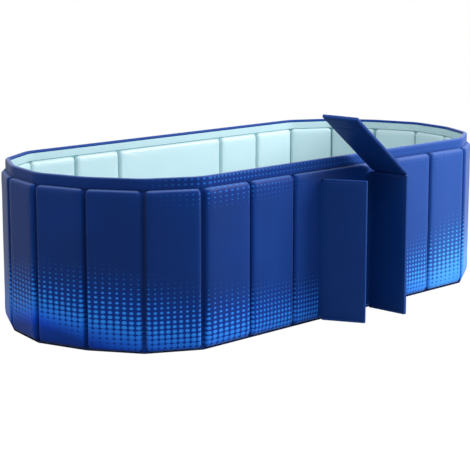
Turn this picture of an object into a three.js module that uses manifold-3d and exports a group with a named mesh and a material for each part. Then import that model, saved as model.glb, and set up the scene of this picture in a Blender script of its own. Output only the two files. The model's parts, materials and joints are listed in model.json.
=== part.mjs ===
// A portable bathtub with folding padded walls and a fold-out side table, in millimetres, +Z up.
// The origin is on the floor under the middle of the tub. +X runs along it, and -Y is its front.

import * as THREE from 'three';
import { mergeVertices } from 'three/addons/utils/BufferGeometryUtils.js';
import Module from 'manifold-3d';

const wasm = await Module();
wasm.setup();

// Plan of the tub, along the middle plane of its walls
const widePitch = 480;
const narrowPitch = 188;
const wallHalfDepth = 390;
const endDirections = [30, 59, 76];

// Heights above the floor
const rimHeight = 500;
const rimBandHeight = 40;
const rimSeam = 3;
const padFootRise = 1;
const bindingDepth = 5.5;

// Wall build-up, from the middle plane outwards and inwards
const padOutward = 20;
const padInward = 16;
const padShoulder = 10;
const footShoulder = 34;
const padCorner = 12;
const grooveHalf = 3;
const skinThickness = 2.2;
const webThickness = 1.2;
const rimThickness = 14;

// Sheets of the floor
const baseThickness = 2;
const baseReach = 10;
const floorThickness = 1.6;

// Clearances
const touchGap = 0.3;
const cutOverrun = 4;

// Side table: two upright supports on the front wall and a top that is hinged on the right one
const supportHeight = 441;
const supportFootGap = 2;
const supportCorner = 3;
const leftSupportPlace = -114;
const leftSupportDepth = 139;
const leftSupportThickness = 12;
const leftSupportTurn = 25;
const rightSupportPlace = 117;
const rightSupportDepth = 144;
const rightSupportThickness = 13;
const tableLength = 310;
const tableThickness = 12;
const tableWallGap = 0.5;
const tableTilt = 37.5;
const tableCorner = 3;
const hingeBeadRadius = 2.2;

// Drain through the back wall
const drainHeight = 57;
const drainBoreRadius = 11.5;
const drainTubeRadius = 15;
const drainTubeEnd = 26;
const drainFlangeRadius = 23;
const drainFlangeThickness = 2.5;
const sealThickness = 1.5;
const nutRadius = 22;
const nutThickness = 8;
const capRadius = 19;
const capDepth = 14;
const capThickness = 2.5;

// Facets
const shoulderSteps = 3;
const roundSteps = 24;
const edgeSteps = 6;

const rimBase = rimHeight - rimBandHeight + rimSeam;
const webFoot = baseThickness + touchGap;
const floorLow = baseThickness + touchGap;
const floorHigh = floorLow + floorThickness;
const outerPadFoot = webFoot + padFootRise;
const innerPadFoot = floorHigh + touchGap;
const padTop = rimHeight - rimBandHeight;
const radians = THREE.MathUtils.degToRad;

// Ends of the tub: three panels on each side of the tip, all of one pitch
const endRise = endDirections.reduce((sum, angle) => sum + Math.sin(radians(angle)), 0);
const endPitch = wallHalfDepth / endRise;

const colours = {
  navy: 0x16347c,
  aqua: 0xb9e1e1,
  foam: 0xe8e8e2,
  flap: 0x0c2a60,
  white: 0xe4e8ea,
  rubber: 0x2a2d33,
};

function finish(colour, roughness) {
  return new THREE.MeshStandardMaterial({ color: colour, roughness, metalness: 0 });
}

const finishes = {
  cover: () => finish(colours.navy, 0.42),
  liner: () => finish(colours.aqua, 0.38),
  board: () => finish(colours.foam, 0.9),
  flap: () => finish(colours.flap, 0.5),
  fitting: () => finish(colours.white, 0.35),
  rubber: () => finish(colours.rubber, 0.8),
};

// Closed geometry with shared corners and its faces pointing out
function closed(geometry) {
  const bare = geometry.clone();
  bare.deleteAttribute('normal');
  bare.deleteAttribute('uv');
  const merged = mergeVertices(bare);
  const place = merged.attributes.position;
  const index = Array.from(merged.index.array);
  const corners = [new THREE.Vector3(), new THREE.Vector3(), new THREE.Vector3()];
  let volume = 0;
  for (let i = 0; i < index.length; i += 3) {
    corners.forEach((corner, k) => corner.fromBufferAttribute(place, index[i + k]));
    volume += corners[0].dot(corners[1].clone().cross(corners[2]));
  }
  if (volume < 0) {
    merged.setIndex(index.reverse());
  }
  return merged;
}

function toSolid(geometry) {
  const shape = closed(geometry);
  const vertProperties = new Float32Array(shape.attributes.position.array);
  const triVerts = new Uint32Array(shape.index.array);
  return new wasm.Manifold(new wasm.Mesh({ numProp: 3, vertProperties, triVerts }));
}

function toGeometry(solid) {
  const mesh = solid.getMesh();
  const geometry = new THREE.BufferGeometry();
  geometry.setAttribute('position', new THREE.BufferAttribute(new Float32Array(mesh.vertProperties), 3));
  geometry.setIndex(new THREE.BufferAttribute(new Uint32Array(mesh.triVerts), 1));
  return geometry;
}

// Upright prism over a plan outline, between two heights
function prism(outline, low, high) {
  const shape = new THREE.Shape(outline.map(([x, y]) => new THREE.Vector2(x, y)));
  const geometry = new THREE.ExtrudeGeometry(shape, { depth: high - low, bevelEnabled: false });
  return geometry.translate(0, 0, low);
}

// Closed skin through rings of equally many points, with a flat cap on the first and the last
function throughRings(rings) {
  const count = rings[0].length;
  const index = [];
  for (let r = 0; r + 1 < rings.length; r += 1) {
    for (let i = 0; i < count; i += 1) {
      const next = (i + 1) % count;
      const a = r * count + i;
      const b = r * count + next;
      index.push(a, b, b + count, a, b + count, a + count);
    }
  }
  const last = (rings.length - 1) * count;
  for (let i = 1; i + 1 < count; i += 1) {
    index.push(0, i + 1, i, last, last + i, last + i + 1);
  }
  const geometry = new THREE.BufferGeometry();
  geometry.setAttribute('position', new THREE.Float32BufferAttribute(rings.flat(2), 3));
  geometry.setIndex(index);
  return geometry;
}

// In a wall's own frame X runs along it, Z up, and Y inwards, so a depth outwards is -Y.

// Upright rectangle with cut corners, at one depth in the wall. The foot rounds over more gently.
function pocketRing(pocket, inset, rounding, depth) {
  const x = pocket.halfWidth - inset - rounding;
  const high = pocket.high - inset - rounding;
  const low = pocket.low + inset + rounding * (footShoulder / padShoulder);
  const cut = padCorner;
  const corners = [
    [x, high - cut], [x - cut, high], [cut - x, high], [-x, high - cut],
    [-x, low + cut], [cut - x, low], [x - cut, low], [x, low + cut],
  ];
  return corners.map(([along, up]) => [pocket.centre + along, -depth, up]);
}

// Rings that round a pocket's shoulder over from its edge to its flat face
function shoulderRings(pocket, inset, from, to) {
  const rings = [];
  for (let k = 0; k <= shoulderSteps; k += 1) {
    const turn = (k / shoulderSteps) * Math.PI / 2;
    const rounding = padShoulder * (1 - Math.cos(turn));
    rings.push(pocketRing(pocket, inset, rounding, from + (to - from) * Math.sin(turn)));
  }
  return rings;
}

function makePocket(centre, pitch) {
  return {
    centre,
    halfWidth: pitch / 2 - grooveHalf,
    low: innerPadFoot,
    high: padTop,
  };
}

// Where a wall ends at some depth, on the plane that halves its turn to the next wall
function wallEnd(half, depth, turn) {
  const slope = Math.tan(radians(turn / 2));
  return half + depth * slope - touchGap / 2 / Math.cos(radians(turn / 2));
}

// Slab along a wall that runs past both of its ends
function wallSlab(wall, fromDepth, toDepth, low, high) {
  const reach = wall.half + rimThickness;
  const outline = [[-reach, -fromDepth], [reach, -fromDepth], [reach, -toDepth], [-reach, -toDepth]];
  return toSolid(prism(outline, low, high));
}

// Prism that trims a wall to the planes it shares with its neighbours
function wallTrim(wall) {
  const outline = [-padInward - cutOverrun, padOutward + cutOverrun].flatMap((depth) => [
    [-wallEnd(wall.half, depth, wall.startTurn), -depth],
    [wallEnd(wall.half, depth, wall.endTurn), -depth],
  ]);
  const [a, b, c, d] = outline;
  return toSolid(prism([a, b, d, c], -cutOverrun, rimHeight + cutOverrun));
}

// Round cutter through the wall for the drain
function drainCutter(wall) {
  const length = 2 * (padOutward + padInward);
  const radius = drainTubeRadius + touchGap;
  const cutter = new THREE.CylinderGeometry(radius, radius, length, roundSteps);
  return toSolid(cutter.translate(wall.drain, 0, drainHeight));
}

// One side's skin of a wall: its web, its padded pockets and its half of the rim band
function makeSkin(wall, side) {
  const near = side * touchGap / 2;
  const far = side * (touchGap / 2 + webThickness);
  const face = side > 0 ? padOutward : -padInward;
  const bandTop = side > 0 ? rimHeight : rimHeight - bindingDepth - touchGap;
  let skin = wallSlab(wall, near, far, webFoot, bandTop);
  skin = skin.add(wallSlab(wall, near, side * rimThickness / 2, rimBase, bandTop));
  if (side > 0) {
    skin = skin.add(wallSlab(wall, -rimThickness / 2, far, rimHeight - bindingDepth, rimHeight));
  }
  for (const place of wall.pockets) {
    const pocket = { ...place, low: side > 0 ? outerPadFoot : innerPadFoot };
    const root = pocketRing(pocket, 0, 0, (near + far) / 2);
    const pad = throughRings([root, ...shoulderRings(pocket, 0, far, face)]);
    const mouth = pocketRing(pocket, skinThickness, 0, -side * cutOverrun);
    const inner = shoulderRings(pocket, skinThickness, far, face - side * skinThickness);
    skin = skin.add(toSolid(pad)).subtract(toSolid(throughRings([mouth, ...inner])));
  }
  if (wall.drain !== undefined) {
    skin = skin.subtract(drainCutter(wall));
  }
  return toGeometry(skin.intersect(wallTrim(wall)));
}

// Foam board that fills a pocket between the two skins
function makeBoard(wall, pocket) {
  const inset = skinThickness + touchGap;
  const reach = touchGap / 2 + webThickness;
  const outer = shoulderRings(pocket, inset, reach, padOutward - inset);
  const inner = shoulderRings(pocket, inset, -reach, inset - padInward);
  let board = toSolid(throughRings([...inner.reverse(), ...outer]));
  const besideDrain = Math.abs((wall.drain ?? Infinity) - pocket.centre) < pocket.halfWidth;
  if (besideDrain) {
    board = board.subtract(drainCutter(wall));
  }
  return toGeometry(board);
}

const tub = new THREE.Group();

function addMesh(group, name, geometry, material) {
  const mesh = new THREE.Mesh(geometry, material);
  mesh.name = name;
  group.add(mesh);
  return mesh;
}

function addWall(name, wall) {
  const group = new THREE.Group();
  group.position.set(wall.x, wall.y, 0);
  group.rotation.z = radians(wall.direction);
  addMesh(group, `${name}_cover`, makeSkin(wall, 1), finishes.cover());
  addMesh(group, `${name}_liner`, makeSkin(wall, -1), finishes.liner());
  wall.pockets.forEach((pocket, k) => {
    const label = wall.pockets.length > 1 ? `${name}_board_${k + 1}` : `${name}_board`;
    addMesh(group, label, makeBoard(wall, pocket), finishes.board());
  });
  tub.add(group);
  return group;
}

// The walls in turn, anticlockwise from the front: long wall, end, long wall, end
const endCount = endDirections.length;
const rightDirections = [...endDirections, ...endDirections.map((angle) => 180 - angle).reverse()];
const leftDirections = rightDirections.map((angle) => angle + 180);
const directions = [0, ...rightDirections, 180, ...leftDirections];
const longHalf = widePitch / 2 + 2 * narrowPitch;
const drainPocketPlace = widePitch / 2 + narrowPitch / 2;

function longPockets() {
  const places = [-2, -1, 0, 1, 2];
  return places.map((place) => {
    if (place === 0) {
      return makePocket(0, widePitch);
    }
    const centre = Math.sign(place) * (widePitch / 2 + (Math.abs(place) - 1 / 2) * narrowPitch);
    return makePocket(centre, narrowPitch);
  });
}

function wallName(i) {
  if (i === 0) {
    return 'front';
  }
  if (i === 2 * endCount + 1) {
    return 'back';
  }
  if (i <= 2 * endCount) {
    return `right_end_${i}`;
  }
  return `left_end_${directions.length - i}`;
}

const outline = [];
const corner = new THREE.Vector2(-longHalf, -wallHalfDepth);
let backWall = null;
directions.forEach((direction, i) => {
  const long = i % (2 * endCount + 1) === 0;
  const half = long ? longHalf : endPitch / 2;
  const along = new THREE.Vector2(Math.cos(radians(direction)), Math.sin(radians(direction)));
  const before = directions[(i + directions.length - 1) % directions.length];
  const after = directions[(i + 1) % directions.length];
  const middle = corner.clone().addScaledVector(along, half);
  const wall = {
    x: middle.x,
    y: middle.y,
    direction,
    half,
    startTurn: (direction - before + 360) % 360,
    endTurn: (after - direction + 360) % 360,
    pockets: long ? longPockets() : [makePocket(0, endPitch)],
  };
  const name = wallName(i);
  if (name === 'back') {
    wall.drain = -drainPocketPlace;
  }
  const group = addWall(name, wall);
  if (name === 'back') {
    backWall = group;
  }
  outline.push({ corner: corner.clone(), before, direction });
  corner.addScaledVector(along, 2 * half);
});

// Plan outline of the tub at some distance outside the middle plane of its walls
function outlineAt(distance) {
  return outline.map(({ corner: point, before, direction }) => {
    const outwards = [before, direction].map((angle) => radians(angle - 90));
    const x = Math.cos(outwards[0]) + Math.cos(outwards[1]);
    const y = Math.sin(outwards[0]) + Math.sin(outwards[1]);
    const share = 1 / (1 + Math.cos(outwards[1] - outwards[0]));
    return [point.x + x * share * distance, point.y + y * share * distance];
  });
}

// Floor: an outer sheet that the tub stands on and an inner sheet between the webs
addMesh(tub, 'base_sheet', prism(outlineAt(baseReach), 0, baseThickness), finishes.cover());
const floorReach = -(touchGap / 2 + webThickness + touchGap);
addMesh(tub, 'floor_liner', prism(outlineAt(floorReach), floorLow, floorHigh), finishes.liner());

// Plan outline of a support that runs from its hinge towards -Y, with a round root
function supportOutline(thickness, depth) {
  const half = thickness / 2;
  const end = -(depth - half - touchGap);
  const points = [];
  for (let k = 0; k <= edgeSteps; k += 1) {
    const turn = (k / edgeSteps) * Math.PI;
    points.push([half * Math.cos(turn), half * Math.sin(turn)]);
  }
  points.push([-half, end + supportCorner], [supportCorner - half, end]);
  points.push([half - supportCorner, end], [half, end + supportCorner]);
  return points;
}

const padFace = -(wallHalfDepth + padOutward);

const leftSupport = prism(supportOutline(leftSupportThickness, leftSupportDepth), supportFootGap, supportHeight);
const leftSupportMesh = addMesh(tub, 'left_support', closed(leftSupport), finishes.flap());
leftSupportMesh.position.set(leftSupportPlace, padFace - leftSupportThickness / 2 - touchGap, 0);
leftSupportMesh.rotation.z = radians(leftSupportTurn);

const rightSupport = prism(supportOutline(rightSupportThickness, rightSupportDepth), supportFootGap, supportHeight);
const rightSupportMesh = addMesh(tub, 'right_support', closed(rightSupport), finishes.flap());
const rightSupportAxis = padFace - rightSupportThickness / 2 - touchGap;
rightSupportMesh.position.set(rightSupportPlace, rightSupportAxis, 0);

// Section of the table top, lying flat: its hinge bead is at the origin and the board runs to -X
function tableSection() {
  const under = -hingeBeadRadius;
  const top = tableThickness - hingeBeadRadius;
  const start = -hingeBeadRadius / 2;
  const firstTurn = Math.acos(start / hingeBeadRadius);
  const points = [[start, top]];
  for (let k = 0; k <= edgeSteps; k += 1) {
    const turn = firstTurn - (k / edgeSteps) * (firstTurn + Math.PI / 2);
    points.push([hingeBeadRadius * Math.cos(turn), hingeBeadRadius * Math.sin(turn)]);
  }
  points.push([tableCorner - tableLength, under], [-tableLength, under + tableCorner]);
  points.push([-tableLength, top - tableCorner], [tableCorner - tableLength, top]);
  return points;
}

// The bead lies along the top edge of the right support, on the side that faces the left one
const tableWidth = rightSupportDepth - rightSupportThickness / 2 - touchGap - tableWallGap;
const table = prism(tableSection(), 0, tableWidth).rotateX(Math.PI / 2);
const tableMesh = addMesh(tub, 'table_top', closed(table), finishes.flap());
const beadPlace = rightSupportPlace - rightSupportThickness / 2 + hingeBeadRadius;
const beadHeight = supportHeight + touchGap + hingeBeadRadius;
tableMesh.position.set(beadPlace, rightSupportAxis - tableWallGap, beadHeight);
tableMesh.rotation.y = radians(tableTilt);

// Ring or cup turned about the drain's axis, from a profile of radii and depths outwards
function turned(profile) {
  const points = profile.map(([radius, depth]) => new THREE.Vector2(radius, -depth));
  const ring = profile[0][0] > 0 ? [...points, points[0]] : points;
  return closed(new THREE.LatheGeometry(ring, roundSteps));
}

const sealFace = -padInward - touchGap;
const flangeFace = sealFace - sealThickness - touchGap;
const flangeEnd = flangeFace - drainFlangeThickness;
const nutFace = padOutward + touchGap;
const spoutEnd = padOutward + drainTubeEnd;
const capHole = drainTubeRadius + touchGap;

const drainPieces = {
  drain_spout: [finishes.fitting, [
    [drainBoreRadius, flangeEnd], [drainFlangeRadius, flangeEnd], [drainFlangeRadius, flangeFace],
    [drainTubeRadius, flangeFace], [drainTubeRadius, spoutEnd], [drainBoreRadius, spoutEnd],
  ]],
  drain_seal: [finishes.rubber, [
    [drainTubeRadius + touchGap, sealFace - sealThickness], [drainFlangeRadius, sealFace - sealThickness],
    [drainFlangeRadius, sealFace], [drainTubeRadius + touchGap, sealFace],
  ]],
  drain_nut: [finishes.fitting, [
    [drainTubeRadius + touchGap, nutFace], [nutRadius, nutFace],
    [nutRadius, nutFace + nutThickness], [drainTubeRadius + touchGap, nutFace + nutThickness],
  ]],
  drain_cap: [finishes.fitting, [
    [0, spoutEnd + touchGap], [capHole, spoutEnd + touchGap], [capHole, spoutEnd + touchGap - capDepth],
    [capRadius, spoutEnd + touchGap - capDepth], [capRadius, spoutEnd + touchGap + capThickness],
    [0, spoutEnd + touchGap + capThickness],
  ]],
};

for (const [name, [material, profile]] of Object.entries(drainPieces)) {
  const mesh = addMesh(backWall, name, turned(profile), material());
  mesh.position.set(-drainPocketPlace, 0, drainHeight);
}

export default tub;
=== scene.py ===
# A portable bathtub: padded cloth walls with folding ends, a fold-out side table and a drain.
# Everything is in metres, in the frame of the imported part: +X along the tub, -Y its front, +Z up.
import json
import math

import bmesh
import bpy
import numpy as np
from mathutils import Matrix, Vector

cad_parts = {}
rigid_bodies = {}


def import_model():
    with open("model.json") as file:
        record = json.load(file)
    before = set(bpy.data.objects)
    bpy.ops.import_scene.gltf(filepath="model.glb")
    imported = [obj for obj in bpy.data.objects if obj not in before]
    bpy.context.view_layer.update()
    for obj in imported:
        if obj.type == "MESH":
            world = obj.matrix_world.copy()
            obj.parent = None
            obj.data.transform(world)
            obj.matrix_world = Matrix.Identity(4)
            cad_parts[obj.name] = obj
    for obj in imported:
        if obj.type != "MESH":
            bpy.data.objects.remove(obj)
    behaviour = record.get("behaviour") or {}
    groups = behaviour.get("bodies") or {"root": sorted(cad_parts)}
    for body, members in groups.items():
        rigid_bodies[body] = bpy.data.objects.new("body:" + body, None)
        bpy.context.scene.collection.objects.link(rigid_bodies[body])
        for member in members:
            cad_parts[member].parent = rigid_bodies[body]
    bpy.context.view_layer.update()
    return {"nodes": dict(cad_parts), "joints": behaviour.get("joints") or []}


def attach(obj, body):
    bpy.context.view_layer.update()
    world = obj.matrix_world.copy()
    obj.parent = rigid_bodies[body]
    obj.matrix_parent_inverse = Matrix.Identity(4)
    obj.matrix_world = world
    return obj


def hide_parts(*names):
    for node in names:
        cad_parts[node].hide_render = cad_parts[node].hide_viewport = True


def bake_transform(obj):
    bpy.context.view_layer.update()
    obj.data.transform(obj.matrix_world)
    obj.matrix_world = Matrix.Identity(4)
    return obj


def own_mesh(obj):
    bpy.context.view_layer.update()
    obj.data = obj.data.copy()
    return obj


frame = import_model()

# Plan of the walls, along their middle plane
WIDE_PITCH = 0.480
NARROW_PITCH = 0.188
WALL_HALF_DEPTH = 0.390
END_HEADINGS = [30, 59, 76]

# Heights
RIM_TOP = 0.500
RIM_FOOT = 0.467
BINDING_FOOT = 0.4915
PAD_TOP = 0.464
OUTER_PAD_FOOT = 0.0035
INNER_PAD_FOOT = 0.0042
WEB_FOOT = 0.0034

# Depths from the middle plane of a wall
RIM_HALF = 0.007
SKIN_NEAR = 0.00015
SKIN_FAR = 0.00135
OUTER_FACE = 0.020
INNER_FACE = 0.016
ROOT_DEEP = 0.006

# Pads: the groove between two of them, how far they swell, how their edges round over and what the
# remesh takes off their tops
GROOVE_HALF = 0.003
PAD_SWELL = 0.0007
PAD_LIFT = 0.0018
PAD_CORNER = 0.012
SHOULDER = 0.0060
TOP_SHOULDER = 0.0030
SHOULDER_RINGS = 6
FOOT_SHOULDER = 0.0340
FOOT_FULLNESS = 3.0
VOXEL = 0.004
SWELL_FRAMES = 20
UNEVEN_BY = 0.0007
UNEVEN_OVER = 0.11

# Corners of the webs and rims: how much of each wall the bend takes, its steps, and the laps that
# cover the one corner where the ring is open
STRIP_HALF = 0.004
RIM_ROUND = 0.028
BEND_STEPS = 14
STUB = 0.0002
LAP_ROOT = 0.001
LAP_SHRINK = 0.25
LAP_LOWER = 0.0009
WEB_LAP = 0.0045
RIM_LAP = 0.009

# Rim: its rounded edges, and how far the liner's half stays behind the binding
TOP_ROUND = 0.0048
FOOT_ROUND = 0.0022
BINDING_ROUND = 0.0006
BINDING_GAP = 0.0003
LINER_BEHIND = 0.0006

# Heights where a web is cut across, closer together where its print changes most
WEB_CUTS = [0.02 + 0.012 * k for k in range(20)] + [0.30, 0.38, 0.41, 0.43, 0.45]

# Floor cloths: how far outside the walls' middle plane they reach
BASE_REACH = 0.010
FLOOR_REACH = -0.0035

# Side table. Each support has its place along the wall, its depth, its thickness and its turn
SUPPORT_FOOT = 0.002
SUPPORT_TOP = 0.441
LEFT_SUPPORT = (-0.114, 0.139, 0.012, 25)
RIGHT_SUPPORT = (0.117, 0.144, 0.013, 0)
TABLE_LENGTH = 0.310
TABLE_THICK = 0.012
TABLE_TILT = 37.5
TABLE_CREASE = -0.258
BEAD = 0.0022
HINGE_GAP = 0.0003
EDGE_SEAM = 0.007
EDGE_SEAM_DEPTH = 0.0006
CREASE_DEPTH = 0.0009

# Drain, in the narrow panel beside the wide one of the back wall
DRAIN_AT = Vector((WIDE_PITCH / 2 + NARROW_PITCH / 2, WALL_HALF_DEPTH, 0.057))
DRAIN_HOLE = 0.0152
DRAIN_BORE = 0.0115
DRAIN_TUBE = 0.0150
DRAIN_THREAD = 0.0144
DRAIN_THREAD_PITCH = 0.0024
DRAIN_FLANGE = 0.023
DRAIN_NUT = 0.0212
DRAIN_CAP = 0.0184
DRAIN_GAP = 0.0003
LATHE_SIDES = 64

# Print: rows of dots up the cloth, columns along it
ROW_PITCH = 0.0139
END_COLUMNS = [9, 8, 8, 8, 8, 9]
OUTER_NARROW_COLUMNS = 8
INNER_NARROW_COLUMNS = 12
WIDE_COLUMNS = 39


# ------------------------ plan of the walls

def plan_walls():
    """The walls in turn, anticlockwise from the front."""
    rise = sum(math.sin(math.radians(a)) for a in END_HEADINGS)
    end_pitch = WALL_HALF_DEPTH / rise
    right = END_HEADINGS + [180 - a for a in reversed(END_HEADINGS)]
    headings = [0] + right + [180] + [a + 180 for a in right]
    long_half = WIDE_PITCH / 2 + 2 * NARROW_PITCH
    names = ["front"] + [f"right_end_{k}" for k in range(1, 7)]
    names += ["back"] + [f"left_end_{k}" for k in range(6, 0, -1)]
    corner = Vector((-long_half, -WALL_HALF_DEPTH, 0))
    walls, run, column = [], 0.0, 0.0
    for i, heading in enumerate(headings):
        long = i % 7 == 0
        half = long_half if long else end_pitch / 2
        along = Vector((math.cos(math.radians(heading)), math.sin(math.radians(heading)), 0))
        if long:
            pitches = [NARROW_PITCH, NARROW_PITCH, WIDE_PITCH, NARROW_PITCH, NARROW_PITCH]
            columns = [OUTER_NARROW_COLUMNS, INNER_NARROW_COLUMNS, WIDE_COLUMNS,
                       INNER_NARROW_COLUMNS, OUTER_NARROW_COLUMNS]
        else:
            pitches, columns = [end_pitch], [END_COLUMNS[i % 7 - 1]]
        edges = np.cumsum([-half] + pitches)
        marks = column + np.cumsum([0] + columns)
        walls.append({
            "name": names[i],
            "body": names[i] + "_wall" if long else names[i],
            "heading": math.radians(heading),
            "along": along,
            "middle": corner + along * half,
            "half": half,
            "pads": [((edges[k] + edges[k + 1]) / 2, pitch) for k, pitch in enumerate(pitches)],
            "run": run,
            "edges": edges,
            "marks": marks,
            "turn": math.radians((headings[(i + 1) % 14] - heading) % 360),
        })
        corner = corner + along * 2 * half
        run += 2 * half
        column = marks[-1]
    return walls


def outwards_of(wall):
    return Vector((wall["along"].y, -wall["along"].x, 0))


WALLS = plan_walls()
GIRTH = WALLS[-1]["run"] + 2 * WALLS[-1]["half"]


def wall_frame(wall):
    """Takes a piece from its wall's own frame, along X and outwards along -Y, to its place."""
    return Matrix.Translation(wall["middle"]) @ Matrix.Rotation(wall["heading"], 4, "Z")


# ------------------------ bench tools

def only(obj):
    bpy.ops.object.select_all(action="DESELECT")
    obj.select_set(True)
    bpy.context.view_layer.objects.active = obj


def added(name, primitive, scale=(1, 1, 1), **settings):
    """A new primitive, with its place and scale in its mesh."""
    bpy.ops.object.select_all(action="DESELECT")
    primitive(**settings)
    obj = bpy.context.active_object
    obj.name = name
    obj.scale = scale
    only(obj)
    bpy.ops.object.transform_apply(location=True, rotation=True, scale=True)
    obj.data.name = obj.name
    return obj


def block(name, low, high):
    """A plain block between two corners."""
    low, high = Vector(low), Vector(high)
    middle = (low + high) / 2
    return added(name, bpy.ops.mesh.primitive_cube_add, high - low, size=1, location=middle)


def select_all(chosen=True):
    bpy.ops.mesh.select_all(action="SELECT" if chosen else "DESELECT")


def edit(obj, mode="FACE"):
    only(obj)
    bpy.ops.object.mode_set(mode="EDIT")
    bpy.ops.mesh.select_mode(type=mode)
    select_all(False)


def done():
    bpy.ops.object.mode_set(mode="OBJECT")


def done_outwards():
    """Leaves edit mode with every face turned outwards."""
    select_all()
    bpy.ops.mesh.normals_make_consistent(inside=False)
    done()


def pick(kind, test):
    """Selects the faces, edges or corners whose corners all pass the test. Works in edit mode."""
    obj = bpy.context.active_object
    bpy.ops.mesh.select_mode(type={"verts": "VERT", "edges": "EDGE", "faces": "FACE"}[kind])
    select_all(False)
    shape = bmesh.from_edit_mesh(obj.data)
    for part in getattr(shape, kind):
        corners = [part.co] if kind == "verts" else [v.co for v in part.verts]
        if test(corners):
            part.select_set(True)
    bmesh.update_edit_mesh(obj.data)


def near(value, target, slack=2e-5):
    return abs(value - target) < slack


def round_off(test, offset, segments):
    """Bevels the edges whose corners pass the test. Works in edit mode."""
    pick("edges", test)
    bpy.ops.mesh.bevel(offset=offset, segments=segments, affect="EDGES")


def cut(point, normal, **options):
    select_all()
    bpy.ops.mesh.bisect(plane_co=point, plane_no=normal, **options)


def finish_with(obj, kind, **settings):
    """Adds a modifier with these settings and applies it."""
    only(obj)
    modifier = obj.modifiers.new(kind.title(), kind)
    for key, value in settings.items():
        setattr(modifier, key, value)
    bpy.ops.object.modifier_apply(modifier=modifier.name)


def twin(obj, name, matrix):
    """A copy with its own mesh, moved by a matrix."""
    copy = obj.copy()
    copy.data = obj.data.copy()
    copy.name = name
    bpy.context.collection.objects.link(copy)
    copy.data.transform(matrix)
    copy.data.name = name
    return copy


def corners_of(obj):
    co = np.empty(len(obj.data.vertices) * 3)
    obj.data.vertices.foreach_get("co", co)
    return co.reshape(-1, 3)


def put_corners(obj, co):
    obj.data.vertices.foreach_set("co", co.ravel())
    obj.data.update()


def smooth(obj, degrees=40):
    only(obj)
    bpy.ops.object.shade_smooth_by_angle(angle=math.radians(degrees))


def dress(obj, material, body=None, nodes=()):
    """Gives a piece its finish and slot, the body it rides on and the nodes it stands for."""
    obj.data.materials.clear()
    obj.data.materials.append(material)
    if body:
        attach(obj, body)
    if nodes:
        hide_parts(*nodes)


def remove(obj):
    bpy.data.objects.remove(obj, do_unlink=True)


# ------------------------ finishes

def shader(name):
    material = bpy.data.materials.new(name)
    material.use_nodes = True
    tree = material.node_tree
    return material, tree, tree.nodes["Principled BSDF"]


def node(tree, kind, **values):
    made = tree.nodes.new(kind)
    for key, value in values.items():
        if hasattr(made, key) and key not in made.inputs:
            setattr(made, key, value)
        else:
            made.inputs[key].default_value = value
    return made


def math_node(tree, operation, first, second=None, clamp=False):
    made = tree.nodes.new("ShaderNodeMath")
    made.operation = operation
    made.use_clamp = clamp
    for socket, value in zip(made.inputs, (first, second)):
        if value is None:
            continue
        if isinstance(value, (int, float)):
            socket.default_value = value
        else:
            tree.links.new(value, socket)
    return made.outputs[0]


def scaled(tree, value, times, plus, clamp=False):
    """A value times one number plus another."""
    made = math_node(tree, "MULTIPLY_ADD", value, times, clamp)
    made.node.inputs[2].default_value = plus
    return made


def vector_node(tree, operation, first, second=None):
    made = tree.nodes.new("ShaderNodeVectorMath")
    made.operation = operation
    tree.links.new(first, made.inputs[0])
    if second:
        made.inputs[1].default_value = second
    return made.outputs["Value" if operation == "LENGTH" else "Vector"]


def attribute(tree, name):
    return node(tree, "ShaderNodeAttribute", attribute_name=name).outputs["Fac"]


def mix(tree, share, first, second):
    made = tree.nodes.new("ShaderNodeMix")
    made.data_type = "RGBA"
    for name, value in (("Factor", share), ("A", first), ("B", second)):
        socket = made.inputs[name]
        if isinstance(value, (int, float, tuple)):
            socket.default_value = value
        else:
            tree.links.new(value, socket)
    return made.outputs["Result"]


def paint(red, green, blue):
    """A colour as it is seen, 0 to 255, turned into the shader's own scale."""
    def one(value):
        value /= 255
        return value / 12.92 if value <= 0.04045 else ((value + 0.055) / 1.055) ** 2.4
    return (one(red), one(green), one(blue), 1.0)


def texture(tree, kind, **values):
    """A texture node laid on the piece's own coordinates."""
    made = node(tree, kind, **values)
    place = tree.nodes.new("ShaderNodeTexCoord")
    tree.links.new(place.outputs["Object"], made.inputs["Vector"])
    return made.outputs


def grain(tree, scale, detail=2.0):
    made = texture(tree, "ShaderNodeTexNoise", Scale=scale, Detail=detail, Roughness=0.55)
    return made["Fac"]


def bumps(tree, skin, layers):
    """Lays bump layers one on another: height, strength and distance in metres."""
    last = None
    for height, strength, distance in layers:
        made = node(tree, "ShaderNodeBump", Strength=strength, Distance=distance)
        tree.links.new(height, made.inputs["Height"])
        if last:
            tree.links.new(last, made.inputs["Normal"])
        last = made.outputs["Normal"]
    tree.links.new(last, skin.inputs["Normal"])


THREAD_PITCH = 0.0012


def weave(tree):
    """Crossing threads that show faintly through a coated cloth."""
    waves = [texture(tree, "ShaderNodeTexWave", wave_type="BANDS", bands_direction=direction,
                     Scale=1 / THREAD_PITCH, Distortion=0.0)["Fac"] for direction in "XZ"]
    return math_node(tree, "MULTIPLY", *waves)


# Lit and shaded copies of the print's colours: the lit ones are painted light, used where the
# painted light level is high
INK, LIT_INK, DEEP_INK = paint(42, 134, 234), paint(70, 158, 236), paint(9, 72, 220)
NAVY, MID_NAVY, LIT_NAVY = paint(12, 43, 104), paint(8, 52, 125), paint(36, 74, 148)
INKED_NAVY, INKED_LIT_NAVY, HIGHLIGHT_NAVY = paint(0, 49, 160), paint(24, 86, 158), paint(92, 120, 180)
MID_TONE = 0.3
DOT_EDGE = 6.0
BLEED = 1.2


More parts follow.
